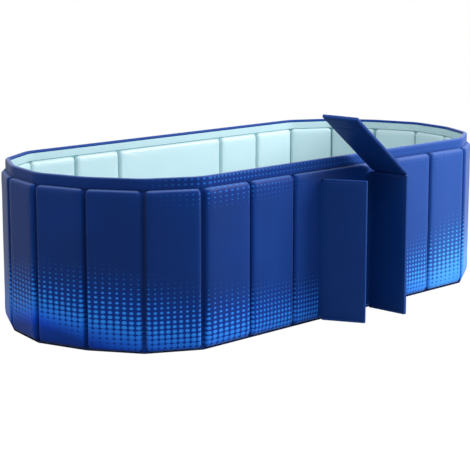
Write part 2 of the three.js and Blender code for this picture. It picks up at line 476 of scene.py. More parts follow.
def printed_cloth():
    """Navy coated cloth with a printed field of blue dots that grow downwards, painted lighter
    where it is lit and darker where it is shaded, and with painted highlights.
    """
    material, tree, skin = shader("printed_cover")
    cells = node(tree, "ShaderNodeUVMap", uv_map="dots").outputs["UV"]
    in_cell = vector_node(tree, "SUBTRACT", vector_node(tree, "FRACTION", cells), (0.5, 0.5, 0.0))
    far = vector_node(tree, "LENGTH", vector_node(tree, "MULTIPLY", in_cell, (1.0, 1.0, 0.0)))
    size = attribute(tree, "dot_size")
    strength = attribute(tree, "dot_strength")
    shade = attribute(tree, "ground")
    inside = scaled(tree, math_node(tree, "SUBTRACT", size, far), DOT_EDGE, 0.5, True)
    # Painted light: the ground attribute is a painted light level, and the dots and the ink between
    # them take lit copies by it
    lit = scaled(tree, shade, 2.0, -1.0, True)
    dots = mix(tree, lit, INK, LIT_INK)
    dots = mix(tree, attribute(tree, "dot_depth"), dots, DEEP_INK)

    # The cloth's tone runs from shaded to lit navy by the painted light level, with a random
    # unevenness on top
    uneven_tone = scaled(tree, grain(tree, 5.0, 3.0), 0.36, -0.18)
    tones = tree.nodes.new("ShaderNodeValToRGB")
    tree.links.new(math_node(tree, "ADD", shade, uneven_tone, True), tones.inputs["Fac"])
    tones.color_ramp.elements[0].color = NAVY
    tones.color_ramp.elements[1].color = LIT_NAVY
    tones.color_ramp.elements.new(MID_TONE).color = MID_NAVY
    ground = tones.outputs["Color"]
    bleed = math_node(tree, "MULTIPLY", math_node(tree, "MULTIPLY", size, strength), BLEED, True)
    ground = mix(tree, bleed, ground, mix(tree, lit, INKED_NAVY, INKED_LIT_NAVY))
    # Painted highlights: a paler navy along the pads' top shoulders and the rim's top edge
    ground = mix(tree, attribute(tree, "worn"), ground, HIGHLIGHT_NAVY)
    colour = mix(tree, math_node(tree, "MULTIPLY", inside, strength), ground, dots)
    tree.links.new(colour, skin.inputs["Base Color"])

    rough = scaled(tree, grain(tree, 420.0), 0.16, 0.36)
    dull_groove = math_node(tree, "MULTIPLY", attribute(tree, "tucked"), 0.5)
    tree.links.new(math_node(tree, "ADD", rough, dull_groove, True), skin.inputs["Roughness"])
    for name, value in (("Specular IOR Level", 0.08), ("Sheen Weight", 0.24),
                        ("Sheen Roughness", 0.30), ("Sheen Tint", (0.80, 0.87, 1.0, 1.0))):
        skin.inputs[name].default_value = value
    bumps(tree, skin, [
        (weave(tree), 0.10, 0.0002),
        (grain(tree, 900.0), 0.18, 0.0002),
        (grain(tree, 16.0), 0.20, 0.0020),
    ])
    return material


def plain_cloth(name, dark, light, rough, shine=0.16, worn=None):
    """Coated cloth of one colour, uneven in tone, gloss and surface, and paler where a highlight is
    painted on.
    """
    material, tree, skin = shader(name)
    colour = mix(tree, grain(tree, 6.0, 4.0), dark, light)
    if worn:
        colour = mix(tree, attribute(tree, "worn"), colour, worn)
    tree.links.new(colour, skin.inputs["Base Color"])
    tree.links.new(scaled(tree, grain(tree, 380.0), 0.14, rough), skin.inputs["Roughness"])
    skin.inputs["Specular IOR Level"].default_value = shine
    bumps(tree, skin, [
        (weave(tree), 0.10, 0.0002),
        (grain(tree, 850.0), 0.15, 0.0002),
        (grain(tree, 14.0), 0.18, 0.0020),
    ])
    return material


def moulded(name, colour, rough, speckle=0.04):
    """Moulded plastic or rubber with a faint grain."""
    material, tree, skin = shader(name)
    low = tuple(c * (1 - speckle) for c in colour[:3]) + (1.0,)
    tree.links.new(mix(tree, grain(tree, 90.0, 3.0), low, colour), skin.inputs["Base Color"])
    tree.links.new(scaled(tree, grain(tree, 240.0), 0.12, rough), skin.inputs["Roughness"])
    bumps(tree, skin, [(grain(tree, 1400.0), 0.12, 0.0001)])
    return material


def foam():
    """Closed-cell foam with its fine bubbles."""
    material, tree, skin = shader("foam_core")
    cells = texture(tree, "ShaderNodeTexVoronoi", Scale=700.0)["Distance"]
    colour = mix(tree, cells, paint(238, 238, 230), paint(214, 214, 204))
    tree.links.new(colour, skin.inputs["Base Color"])
    skin.inputs["Roughness"].default_value = 0.9
    bumps(tree, skin, [(cells, 0.4, 0.0004)])
    return material


COVER = printed_cloth()
LINER = plain_cloth("aqua_liner", paint(175, 203, 209), paint(185, 211, 216), 0.26, 0.4)
# The liner's webs show only in the grooves: their darker, deeper teal is painted groove shade
LINER_GROOVE_SHADE = plain_cloth("aqua_weld", paint(124, 178, 188), paint(134, 187, 196), 0.30, 0.4)
# The board cloth's paler colour is a painted highlight along the boards' edges
FLAP = plain_cloth(
    "navy_board_cloth", paint(5, 42, 102), paint(9, 50, 114), 0.40, 0.12, paint(30, 74, 154))
BASE = plain_cloth("navy_base_cloth", paint(12, 28, 74), paint(17, 36, 88), 0.5)
WHITE = moulded("white_plastic", paint(228, 232, 234), 0.28)
RUBBER = moulded("grey_rubber", paint(44, 47, 53), 0.6, 0.2)
FOAM = foam()


# ------------------------ print of the covers

# Places along the front half of the ring, as shares from the left tip to the right tip, and what
# the print does there: where its dots start, how fast they grow downwards, how strong the dots on
# the rim are, how far the dots fade at the foot, and how much painted light the cloth gets: a
# painted light level, high towards the lit right end and low in the painted shadow of the side
# table
PRINT = [
    (0.0, 0.264, 1.1, 0.0, 1.5, 0.15),
    (0.038, 0.264, 0.96, 0.0, 1.4, 0.1),
    (0.112, 0.262, 0.81, 0.0, 0.4, 0.0),
    (0.187, 0.218, 0.86, 0.25, 0.1, 0.1),
    (0.225, 0.2, 0.91, 0.75, 0.0, 0.12),
    (0.267, 0.196, 0.91, 1.0, 0.0, 0.2),
    (0.35, 0.186, 0.92, 0.95, 0.0, 0.3),
    (0.41, 0.18, 0.96, 0.45, 0.0, 0.2),
    (0.44, 0.18, 0.98, 0.12, 0.0, 0.05),
    (0.5, 0.18, 1.0, 0.0, 0.0, 0.2),
    (0.6, 0.19, 0.94, 0.0, 0.0, 0.6),
    (0.65, 0.221, 0.9, 0.3, 0.0, 0.8),
    (0.7, 0.238, 0.87, 0.35, 0.0, 0.9),
    (0.733, 0.266, 0.82, 0.28, 0.0, 1.0),
    (0.775, 0.282, 0.84, 0.1, 0.1, 0.9),
    (1.0, 0.28, 1.0, 0.0, 1.0, 0.15),
]

# How strong the ink of the dots is along the same ring
INK_STRENGTH = [(0.0, 1.0), (0.3, 1.0), (0.325, 0.82), (0.39, 0.8),
                (0.41, 0.74), (0.46, 0.74), (0.58, 0.9), (0.62, 1.0)]

SMALLEST_DOT = 0.05
LARGEST_DOT = 0.72
NO_DOT = -0.2
RIM_DOTS_AT = 0.485
LARGEST_RIM_DOT = 0.22
RIM_DOT_STRENGTH = 0.7
FADE_FROM = 0.085
FADE_OVER = 0.06
DEEP_FROM = 0.38
DEEP_OVER = 0.28
GROOVE_MOUTH = 0.015
# The painted light level of the cover's inward faces
INSIDE_PAINTED_LIGHT = 0.5


def share_along(run):
    """How far a place on the ring lies from the left tip to the right tip, on either long side."""
    left_tip = WALLS[0]["run"] - 3 * 2 * WALLS[1]["half"]  # three end panels before the front wall
    share = ((run - left_tip) % GIRTH) / GIRTH * 2
    return np.where(share > 1, 2 - share, share)


def columns_at(wall, along):
    """The dot column at places along a wall; past its ends they go on at an end panel's pitch."""
    over = np.clip(along - wall["half"], 0, None) + np.clip(along + wall["half"], None, 0)
    end_column_width = 2 * WALLS[1]["half"] / END_COLUMNS[0]
    return np.interp(along, wall["edges"], wall["marks"]) + over / end_column_width


def outside_of(wall, co):
    """How far places lie outside the middle planes of a wall and its neighbours, at the most."""
    at = WALLS.index(wall)
    return np.maximum.reduce([
        (co - np.array(w["middle"])) @ np.array(outwards_of(w))
        for w in (WALLS[at - 1], wall, WALLS[(at + 1) % len(WALLS)])])


def print_on(obj, wall):
    """Gives a piece of a wall its dots' columns and rows, their size and ink, its painted light
    level, its painted highlights and its duller grooves.
    """
    co = corners_of(obj)
    along = (co - np.array(wall["middle"])) @ np.array(wall["along"])
    height = co[:, 2]
    outwards = outside_of(wall, co)
    share = share_along(wall["run"] + wall["half"] + along)
    shares, *values = zip(*PRINT)
    start, growth, upper, fade, ground = (np.interp(share, shares, row) for row in values)
    upper = upper * (outwards > 0)

    below = start - height
    grown = below * growth
    low_dots = np.where(below > 0, SMALLEST_DOT + 1.3 * grown + 7.0 * grown**2, 0)
    rim_dots = np.clip(0.25 - np.abs(height - RIM_DOTS_AT) * 2.6, 0, LARGEST_RIM_DOT)
    rim_dots = rim_dots * np.clip(0.5 + 0.6 * upper, 0, 1) * (upper > 0.02)
    size = np.clip(np.maximum(low_dots, rim_dots), 0, LARGEST_DOT)
    size = np.where(size > SMALLEST_DOT, size, NO_DOT)
    depth = np.clip((low_dots - DEEP_FROM) / DEEP_OVER, 0, 1)
    depth = depth * np.interp(share, [0.6, 0.72], [1.0, 0.12])

    under_rim = height < RIM_FOOT - 0.0005
    at_foot = np.clip(np.clip((FADE_FROM - height) / FADE_OVER, 0, 1) * fade, 0, 1)
    in_groove = under_rim * np.clip((GROOVE_MOUTH - outwards) / 0.010, 0, 0.7)
    strength = np.where(low_dots > 0, np.clip(0.10 + below / 0.10, 0, 1), upper * RIM_DOT_STRENGTH)
    strength = strength * (1 - 0.85 * at_foot) * (1 - in_groove)
    strength = strength * np.interp(share, *zip(*INK_STRENGTH))
    # Painted light: the ground value is a painted light level, and faces turned inwards get a
    # middle one
    ground = np.where(outwards < -0.002, INSIDE_PAINTED_LIGHT, ground)

    # Painted highlights: a pale line along the top shoulder of each pad and along the rim's top
    # edge
    shoulder = np.exp(-(((height - PAD_TOP - 0.0002) / 0.0018) ** 2))
    shoulder = shoulder * (outwards > SKIN_FAR + 0.003)
    fold = np.clip((height - RIM_TOP + 0.003) / 0.003, 0, 1) * (outwards > -0.001)
    tucked = np.clip((0.016 - outwards) / 0.008, 0, 1) * under_rim
    prints = {"dot_size": size, "dot_strength": strength, "dot_depth": depth,
              "ground": ground, "worn": 0.55 * shoulder + 0.5 * fold, "tucked": tucked}
    for name, values in prints.items():
        layer = obj.data.attributes.get(name) or obj.data.attributes.new(name, "FLOAT", "POINT")
        layer.data.foreach_set("value", values.astype(np.float32))
    corners = np.empty(len(obj.data.loops), dtype=np.int32)
    obj.data.loops.foreach_get("vertex_index", corners)
    uv = obj.data.uv_layers.get("dots") or obj.data.uv_layers.new(name="dots")
    flat = np.stack([columns_at(wall, along)[corners], height[corners] / ROW_PITCH], axis=1)
    uv.data.foreach_set("uv", flat.astype(np.float32).ravel())
    obj.data.uv_layers.active = uv


# ------------------------ padded panels

def pad_blank(pitch, outside):
    """A pad on its seam, in its wall's own frame, before it swells: a sheet drawn out ring by ring.

    Each ring is a little smaller, so that the sides round over, and the foot most gently."""
    way = -1 if outside else 1
    foot = OUTER_PAD_FOOT if outside else INNER_PAD_FOOT
    face = (OUTER_FACE if outside else INNER_FACE) - PAD_SWELL
    top = PAD_TOP + PAD_LIFT
    full_half = pitch / 2 - GROOVE_HALF
    half, low, high, deep = full_half, foot, top, -ROOT_DEEP
    pad = added(
        f"blank_{'outer' if outside else 'inner'}_{round(pitch * 1000)}",
        bpy.ops.mesh.primitive_plane_add, (2 * half, high - low, 1), size=1,
        location=(0, way * deep, (low + high) / 2), rotation=(math.pi / 2, 0, 0))
    edit(pad, "VERT")
    select_all()
    bpy.ops.mesh.bevel(offset=PAD_CORNER, segments=4, affect="VERTICES")
    select_all()
    bpy.ops.mesh.extrude_region_move(
        TRANSFORM_OT_translate={"value": (0, way * (SKIN_FAR - deep), 0)})
    deep = SKIN_FAR
    for k in range(1, SHOULDER_RINGS + 1):
        turn = k / SHOULDER_RINGS * math.pi / 2
        shrink = 1 - math.cos(turn)
        next_half = full_half - SHOULDER * shrink
        foot_shrink = 1 - (1 - math.sin(turn) ** FOOT_FULLNESS) ** (1 / FOOT_FULLNESS)
        next_low, next_high = foot + FOOT_SHOULDER * foot_shrink, top - TOP_SHOULDER * shrink
        next_deep = SKIN_FAR + (face - SKIN_FAR) * math.sin(turn)
        bpy.ops.mesh.extrude_region_move(
            TRANSFORM_OT_translate={"value": (0, way * (next_deep - deep), 0)})
        tall = (next_high - next_low) / (high - low)
        centre = (next_high - tall * high) / (1 - tall)
        bpy.ops.transform.resize(
            value=(next_half / half, 1, tall), center_override=(0, way * next_deep, centre))
        half, low, high, deep = next_half, next_low, next_high, next_deep
    done_outwards()
    finish_with(pad, "REMESH", mode="VOXEL", voxel_size=VOXEL)
    finish_with(pad, "SMOOTH", factor=0.5, iterations=2)
    return pad


SWELL_SETTINGS = {
    "quality": 4, "mass": 0.25, "tension_stiffness": 12, "compression_stiffness": 12,
    "bending_stiffness": 0.6, "use_pressure": True, "uniform_pressure_force": 4,
    "vertex_group_mass": "seam"}


def swell(pads):
    """Blows the pads up a little on their seams, as air and foam fill a welded pocket."""
    scene = bpy.context.scene
    starts = {}
    for pad in pads:
        co = corners_of(pad)
        starts[pad.name] = co
        way = np.sign(co[np.abs(co[:, 1]).argmax(), 1])
        held = np.nonzero(co[:, 1] * way < SKIN_FAR + 0.002)[0]
        group = pad.vertex_groups.new(name="seam")
        group.add(held.tolist(), 1.0, "REPLACE")
        cloth = pad.modifiers.new("Swell", "CLOTH")
        for key, value in SWELL_SETTINGS.items():
            setattr(cloth.settings, key, value)
        cloth.settings.effector_weights.gravity = 0
        cloth.collision_settings.use_collision = False
    for count in range(1, SWELL_FRAMES + 1):
        scene.frame_set(count)
    graph = bpy.context.evaluated_depsgraph_get()
    for pad in pads:
        swollen = corners_of(pad.evaluated_get(graph))
        pad.modifiers.clear()
        pad.vertex_groups.clear()
        move = swollen - starts[pad.name]
        far = np.linalg.norm(move, axis=1, keepdims=True)
        cap = PAD_SWELL * np.tanh(far / PAD_SWELL)
        co = starts[pad.name] + move / np.maximum(far, 1e-9) * cap
        put_corners(pad, co)
    scene.frame_set(1)


def open_back(pad, outside):
    """Cuts off the hidden back of a pad and closes it flat on the seam."""
    way = -1 if outside else 1
    edit(pad)
    cut((0, (SKIN_FAR + 0.0006) * way, 0), (0, way, 0), clear_inner=True, use_fill=True)
    done()


def uneven(obj, amount, width):
    """Moves the surface a little in and out, as cloth over foam never lies quite flat."""
    cloud = bpy.data.textures.get("unevenness") or bpy.data.textures.new("unevenness", "CLOUDS")
    cloud.noise_scale = width
    cloud.noise_depth = 1
    finish_with(
        obj, "DISPLACE", texture=cloud, texture_coords="GLOBAL", strength=amount, mid_level=0.5)


def drain_rod():
    """A rod through the back wall where the drain sits."""
    return added(
        "drain_rod", bpy.ops.mesh.primitive_cylinder_add, vertices=48, radius=DRAIN_HOLE,
        depth=0.12, location=DRAIN_AT, rotation=(math.pi / 2, 0, 0))


def pierce(obj, rod):
    only(obj)
    hole = obj.modifiers.new("Hole", "BOOLEAN")
    hole.operation = "DIFFERENCE"
    hole.object = rod
    hole.solver = "EXACT"
    bpy.ops.object.modifier_apply(modifier="Hole")


def make_pads():
    """Swells one blank for each width and side, and sews a copy of it onto each panel."""
    pitches = sorted({round(p, 6) for w in WALLS for _, p in w["pads"]})
    blanks = {(p, outside): pad_blank(p, outside) for p in pitches for outside in (True, False)}
    swell(list(blanks.values()))
    for (_, outside), blank in blanks.items():
        open_back(blank, outside)
        smooth(blank, 60)
    rod = drain_rod()
    for wall in WALLS:
        for k, (centre, pitch) in enumerate(wall["pads"]):
            label = f"_{k + 1}" if len(wall["pads"]) > 1 else ""
            for outside in (True, False):
                side = "cover" if outside else "liner"
                place = wall_frame(wall) @ Matrix.Translation((centre, 0, 0))
                blank = blanks[(round(pitch, 6), outside)]
                pad = twin(blank, f"{wall['name']}_{side}_pad{label}", place)
                uneven(pad, UNEVEN_BY, UNEVEN_OVER)
                if wall["name"] == "back" and abs(centre + DRAIN_AT.x) < pitch / 2:
                    pierce(pad, rod)
                if outside:
                    print_on(pad, wall)
                finish = COVER if outside else LINER
                dress(pad, finish, wall["body"], [f"{wall['name']}_{side}"])
    for blank in blanks.values():
        remove(blank)
    return rod


# ------------------------ webs and rim

def web(name, start, end, outside):
    """The flat skin that shows in the grooves between the pads."""
    near_y, far_y = (-SKIN_NEAR, -SKIN_FAR) if outside else (SKIN_NEAR, SKIN_FAR)
    low = (start, min(near_y, far_y), WEB_FOOT)
    strip = block(name, low, (end, max(near_y, far_y), RIM_FOOT + 0.002))
    edit(strip)
    for place in WEB_CUTS:
        cut((0, 0, place), (0, 0, 1))
    done()
    return strip


def cover_rim(name, start, end):
    """The outer half of the rim band and the binding that is folded over its top."""
    rim = block(name, (start, -RIM_HALF, RIM_FOOT), (end, -SKIN_NEAR, RIM_TOP))
    edit(rim)
    cut((0, 0, BINDING_FOOT), (0, 0, 1))
    pick("faces", lambda c: all(near(v.y, -SKIN_NEAR) and v.z > BINDING_FOOT - 1e-5 for v in c))
    bpy.ops.mesh.extrude_region_move(TRANSFORM_OT_translate={"value": (0, RIM_HALF + SKIN_NEAR, 0)})
    round_off(lambda c: all(near(v.z, RIM_TOP) and near(abs(v.y), RIM_HALF) for v in c)
              and not near(c[0].x, c[1].x), TOP_ROUND, 5)
    round_off(lambda c: all(near(v.z, RIM_FOOT) and near(v.y, -RIM_HALF) for v in c), FOOT_ROUND, 3)
    round_off(
        lambda c: all(near(v.z, BINDING_FOOT) and near(v.y, RIM_HALF) for v in c), BINDING_ROUND, 2)
    done()
    return rim


def liner_rim(name, start, end):
    """The inner half of the rim band, up to the edge of the binding."""
    face = RIM_HALF - LINER_BEHIND
    rim = block(name, (start, SKIN_NEAR, RIM_FOOT), (end, face, BINDING_FOOT - BINDING_GAP))
    edit(rim)
    round_off(lambda c: all(near(v.z, RIM_FOOT) and near(v.y, face) for v in c), FOOT_ROUND, 3)
    done()
    return rim


def make_bands(rod):
    """For each wall and side a straight web and rim, and their bends round the next corner."""
    forms = [
        ("cover", "web", COVER, STRIP_HALF, lambda name, a, b: web(name, a, b, True)),
        ("liner", "web", LINER_GROOVE_SHADE, STRIP_HALF, lambda name, a, b: web(name, a, b, False)),
        ("cover", "rim", COVER, RIM_ROUND, cover_rim),
        ("liner", "rim", LINER, RIM_ROUND, liner_rim),
    ]
    for i, wall in enumerate(WALLS):
        after = WALLS[(i + 1) % len(WALLS)]
        for side, part, material, reach, make in forms:
            edge = wall["half"] - reach
            band = make(f"{wall['name']}_{side}_{part}", -edge, edge)
            band.data.transform(wall_frame(wall))
            if wall["name"] == "back" and part == "web":
                pierce(band, rod)
            smooth(band)
            if side == "cover":
                print_on(band, wall)
            dress(band, material, wall["body"], [f"{wall['name']}_{side}"])
            turn_corner(wall, after, side, part, material, reach, make)


def turn_corner(wall, after, side, part, material, reach, make):
    """The end of a band, spun round to the start of the next wall's band.

    It is bent round the corner between the two walls. Where the ring is open it is cut at the
    corner, and a thinner lap inside it covers the gap that opens there as the ends fold in."""
    edge, turn = wall["half"] - reach, wall["turn"]
    pivot = Vector((edge + STUB, (reach - STUB / 2) / math.tan(turn / 2), 0))
    strip = make(f"{wall['name']}_{side}_{part}_corner", edge, edge + STUB)
    edit(strip)
    pick("faces", lambda c: all(near(v.x, edge + STUB) for v in c))
    bpy.ops.mesh.spin(steps=BEND_STEPS, angle=-turn, center=pivot, axis=(0, 0, 1))
    done()
    strip.data.transform(wall_frame(wall))
    smooth(strip)
    if side == "cover":
        print_on(strip, wall)
    if share_a_joint(wall["body"], after["body"]):
        dress(strip, material)
        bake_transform(strip)
        return
    other = twin(strip, strip.name + "_far", Matrix())
    corner = wall["middle"] + wall["along"] * wall["half"]
    across = (wall["along"] + after["along"]).normalized()
    lap = twin(strip, strip.name + "_lap", Matrix())
    thin_down(lap, wall_frame(wall) @ pivot)
    for half, body, ends in ((strip, wall["body"], {"clear_outer": True}),
                             (other, after["body"], {"clear_inner": True})):
        edit(half)
        cut(corner, across, use_fill=True, **ends)
        done()
        dress(half, material, body)
    edit(lap)
    cut(corner - across * LAP_ROOT, across, use_fill=True, clear_inner=True)
    lap_end = corner + across * (WEB_LAP if part == "web" else RIM_LAP)
    cut(lap_end, across, use_fill=True, clear_outer=True)
    done()
    dress(lap, material, wall["body"])


def thin_down(lap, pivot):
    """Shrinks a bent piece a little towards its own middle, in height and in thickness."""
    co = corners_of(lap)
    out = co[:, :2] - np.array(pivot)[:2]
    far = np.linalg.norm(out, axis=1, keepdims=True)
    middle = (far.min() + far.max()) / 2
    co[:, :2] += out / far * (middle - far) * LAP_SHRINK
    low, high = co[:, 2].min(), co[:, 2].max()
    co[:, 2] = low + (co[:, 2] - low) * (1 - LAP_LOWER / (high - low))
    put_corners(lap, co)


def share_a_joint(first, second):
    return any({joint["parent"], joint["child"]} == {first, second} for joint in frame["joints"])


# ------------------------ floor cloths

def ring_outline(distance):
    """Plan corners of the tub at some distance outside the middle plane of its walls."""
    points = []
    for i, wall in enumerate(WALLS):
        before = WALLS[i - 1]
        corner = wall["middle"] - wall["along"] * wall["half"]
        outs = [outwards_of(before), outwards_of(wall)]
        share = 1 / (1 + outs[0].dot(outs[1]))
        points.append(corner + (outs[0] + outs[1]) * share * distance)
    return points


def floor_cloth(name, reach, height, thickness, wave):
    """A sheet cut to the tub's plan and laid with slight waves."""
    sheet = added(
        name, bpy.ops.mesh.primitive_grid_add, (0.95, 0.45, 1),
        x_subdivisions=150, y_subdivisions=68, size=2, location=(0, 0, height))
    edit(sheet)
    for wall, point in zip(WALLS, ring_outline(reach)):
        cut(point, outwards_of(wall), clear_outer=True)
    done()
    if wave:
        cloud = bpy.data.textures.new(name + "_waves", "CLOUDS")
        cloud.noise_scale = 0.16
        cloud.noise_depth = 2
        finish_with(
            sheet, "DISPLACE", texture=cloud, texture_coords="LOCAL", strength=wave, mid_level=0.5)
    finish_with(sheet, "SOLIDIFY", thickness=thickness, offset=0)
    smooth(sheet, 50)
    return sheet


def make_floor():
    base = floor_cloth("base_cloth", BASE_REACH, 0.001, 0.0019, 0)
    dress(base, BASE, "front_wall", ["base_sheet"])
    inner = floor_cloth("floor_cloth", FLOOR_REACH, 0.0026, 0.0006, 0.0004)
    dress(inner, LINER, "front_wall", ["floor_liner"])
    for sheet, reach, under in ((base, BASE_REACH, []), (inner, FLOOR_REACH, ["base_cloth"])):
        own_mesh(sheet)


# ------------------------ side table

def cloth_board(name, low, high, hinge_edge):
    """A stiff board welded into cloth: soft edges, and a border round each wide face.

    The hinge edge names the long edge that is rounded right over: an axis letter and its sign."""
    board = block(name, low, high)
    axis = "xyz".index(hinge_edge[0])
    thin = min(range(3), key=lambda k: high[k] - low[k])
    root = high[axis] if hinge_edge[1] == "+" else low[axis]
    edit(board)
    round_off(lambda c: all(near(v[axis], root) for v in c) and near(c[0][thin], c[1][thin]),
              (high[thin] - low[thin]) * 0.49, 6)
    pick("faces", lambda c: all(near(v[thin], c[0][thin]) for v in c) and len(c) >= 4
         and (near(c[0][thin], low[thin]) or near(c[0][thin], high[thin])))
    bpy.ops.mesh.inset(thickness=0.0022, depth=0)
    done()
    finish_with(board, "BEVEL", width=0.0024, segments=3, limit_method="ANGLE",
                angle_limit=math.radians(50))
    return board


def crown(board, low, high, thin, rise, seam, crease):
    """Presses a welded line into both faces of a board, swells them inside it, and paints a
    highlight along its edges.
    """
    co = corners_of(board)
    wide = [k for k in range(3) if k != thin]
    middle = (low[thin] + high[thin]) / 2
    way = np.sign(co[:, thin] - middle)
    gap = np.minimum.reduce([np.minimum(co[:, k] - low[k], high[k] - co[:, k]) for k in wide])
    on_face = np.abs(co[:, thin] - middle) > (high[thin] - low[thin]) / 2 - 0.0006
    swell_up = rise * np.clip((gap - seam) / 0.03, 0, 1) ** 0.5
    press = EDGE_SEAM_DEPTH * np.exp(-(((gap - seam) / 0.0011) ** 2))
    if crease:
        press += CREASE_DEPTH * np.exp(-(((co[:, 0] - crease) / 0.0016) ** 2))
    # Painted highlight: paler cloth along the board's edges, as if lit
    worn = board.data.attributes.new("worn", "FLOAT", "POINT")
    worn.data.foreach_set("value", (0.5 * np.exp(-gap / 0.003)).astype(np.float32))
    co[:, thin] += way * np.where(on_face, swell_up - press, 0)
    put_corners(board, co)


def gridded(board, low, high, thin, step, seam, crease):
    """Cuts a board across at even steps and close to its welded line, to let it take a shape."""
    edit(board)
    for k in range(3):
        if k == thin:
            continue
        normal = Vector([1.0 if a == k else 0.0 for a in range(3)])
        count = max(2, round((high[k] - low[k]) / step))
        places = [low[k] + (high[k] - low[k]) * i / count for i in range(1, count)]
        for share in (-0.0016, -0.0008, 0.0, 0.0008, 0.0016, 0.006, 0.014):
            places += [low[k] + seam + share, high[k] - seam - share]
            if crease and k == 0:
                places += [crease + share * 1.5, crease - share * 1.5]
        for place in places:
            cut(normal * place, normal)
    done()


def flap_board(name, low, high, hinge_edge, crease=None, rise=0.0005, seam=EDGE_SEAM):
    """A cloth board whose crowned faces still lie inside the given corners."""
    thin = min(range(3), key=lambda k: high[k] - low[k])
    low = [v + (rise if k == thin else 0) for k, v in enumerate(low)]
    high = [v - (rise if k == thin else 0) for k, v in enumerate(high)]
    board = cloth_board(name, low, high, hinge_edge)
    gridded(board, low, high, thin, 0.02, seam, crease)
    crown(board, low, high, thin, rise, seam, crease)
    smooth(board, 35)
    return board


def hinge_tape(name, path, width_axis, low, high, thickness=0.0007):
    """A band of cloth bent along a path in section and as long as its hinge."""
    tape = added(name, bpy.ops.mesh.primitive_plane_add, size=1)
    steps = len(path) - 1
    edit(tape, "EDGE")
    for k in range(1, steps):
        cut((-0.5 + k / steps, 0, 0), (1, 0, 0))
    for place in (-0.25, 0.0, 0.25):
        cut((0, place, 0), (0, 1, 0))
    done()
    co = corners_of(tape)
    index = np.rint((co[:, 0] + 0.5) * steps).astype(int)
    spot = np.array(path)[index]
    along = low + (high - low) * (co[:, 1] + 0.5)
    placed = np.empty_like(co)
    placed[:, width_axis] = along
    others = [k for k in range(3) if k != width_axis]
    placed[:, others[0]], placed[:, others[1]] = spot[:, 0], spot[:, 1]
    put_corners(tape, placed)
    edit(tape)
    done_outwards()
    finish_with(tape, "SOLIDIFY", thickness=thickness, offset=0)
    smooth(tape, 50)
    return tape


def support(name, place, depth, thickness, turn):
    """An upright support turned about its root on the front wall, and the tape along its root."""
    half = thickness / 2
    axis_y = -(WALL_HALF_DEPTH + OUTER_FACE) - half - HINGE_GAP
    low = (-half, -(depth - half - HINGE_GAP), SUPPORT_FOOT)
    high = (half, half, SUPPORT_TOP)
    board = flap_board(name + "_board", low, high, "y+")
    matrix = Matrix.Translation((place, axis_y, 0)) @ Matrix.Rotation(math.radians(turn), 4, "Z")
    board.data.transform(matrix)
    dress(board, FLAP, name, [name])
    wall_y = -(WALL_HALF_DEPTH + OUTER_FACE) - 0.0005
    face = [matrix @ Vector((-half - 0.0004, -reach, 0)) for reach in (0.0, 0.004, 0.008, 0.012)]
    path = [(place - half - back, wall_y) for back in (0.013, 0.009, 0.005, 0.0022)]
    path += [(place - half - 0.0012, wall_y - 0.002)] + [(p.x, p.y) for p in face]
    tape = hinge_tape(name + "_hinge_tape", path, 2, SUPPORT_FOOT + 0.012, SUPPORT_TOP - 0.008)
    dress(tape, FLAP)
    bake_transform(tape)


def make_table():
    support("left_support", *LEFT_SUPPORT)
    support("right_support", *RIGHT_SUPPORT)
    at, depth, thickness = RIGHT_SUPPORT[:3]
    half = thickness / 2
    axis_y = -(WALL_HALF_DEPTH + OUTER_FACE) - half - HINGE_GAP
    width = depth - half - 0.0008
    bead = Vector((at - half + BEAD, axis_y - 0.0005, SUPPORT_TOP + HINGE_GAP + BEAD))
    low = (-TABLE_LENGTH, -width, -BEAD)
    high = (-BEAD / 2, 0, TABLE_THICK - BEAD)
    board = flap_board("table_top_board", low, high, "z-", TABLE_CREASE)
    tilt = Matrix.Translation(bead) @ Matrix.Rotation(math.radians(TABLE_TILT), 4, "Y")
    board.data.transform(tilt)
    dress(board, FLAP, "table_top", ["table_top"])
    top = SUPPORT_TOP + 0.0005
    fold = (bead.x + 0.0032, top)
    rises = (0.0012, 0.0035, 0.006, 0.0085)
    end_face = [tilt @ Vector((-BEAD / 2 + 0.0005, 0, rise)) for rise in rises]
    path = [(at + 0.005, top), (at + 0.001, top), fold]
    path += [(p.x, p.z) for p in end_face]
    tape = hinge_tape("table_top_hinge_tape", path, 1, bead.y - width + 0.006, bead.y - 0.006)
    dress(tape, FLAP)
    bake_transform(tape)


# ------------------------ drain

def turned(name, profile):
    """A piece turned on a lathe about the drain's axis, from radii and places outwards along it."""
    first = profile[0]
    piece = added(
        name, bpy.ops.mesh.primitive_circle_add,
        vertices=LATHE_SIDES, radius=first[0], location=(0, 0, first[1]))
    edit(piece, "EDGE")
    select_all()
    last = first
    for radius, place in profile[1:]:
        bpy.ops.mesh.extrude_edges_move(TRANSFORM_OT_translate={"value": (0, 0, place - last[1])})
        if radius != last[0]:
            growth = radius / last[0]
            bpy.ops.transform.resize(value=(growth, growth, 1), center_override=(0, 0, place))
        last = (radius, place)
    return piece


def close_lathe(piece, ring):
    """Ends a turned piece: a ring closes on itself, a cup gets flat ends."""
    select_all(ring)
    if ring:
        bpy.ops.mesh.remove_doubles(threshold=1e-6)
    else:
        bpy.ops.mesh.select_non_manifold()
        bpy.ops.mesh.edge_face_add()
    done_outwards()


def grip(piece, radius, low, high, depth):
    """Raises every other side face between two places into a rib."""
    def every_other(corners):
        middle = sum(corners, Vector()) / len(corners)
        side = round(math.atan2(middle.y, middle.x) / math.tau * LATHE_SIDES - 0.5)
        return side % 2 == 0 and all(
            near(math.hypot(v.x, v.y), radius, 2e-4) and low - 1e-5 < v.z < high + 1e-5
            for v in corners)

    edit(piece)
    pick("faces", every_other)
    bpy.ops.mesh.inset(thickness=0.0003, depth=depth, use_individual=True)
    done()


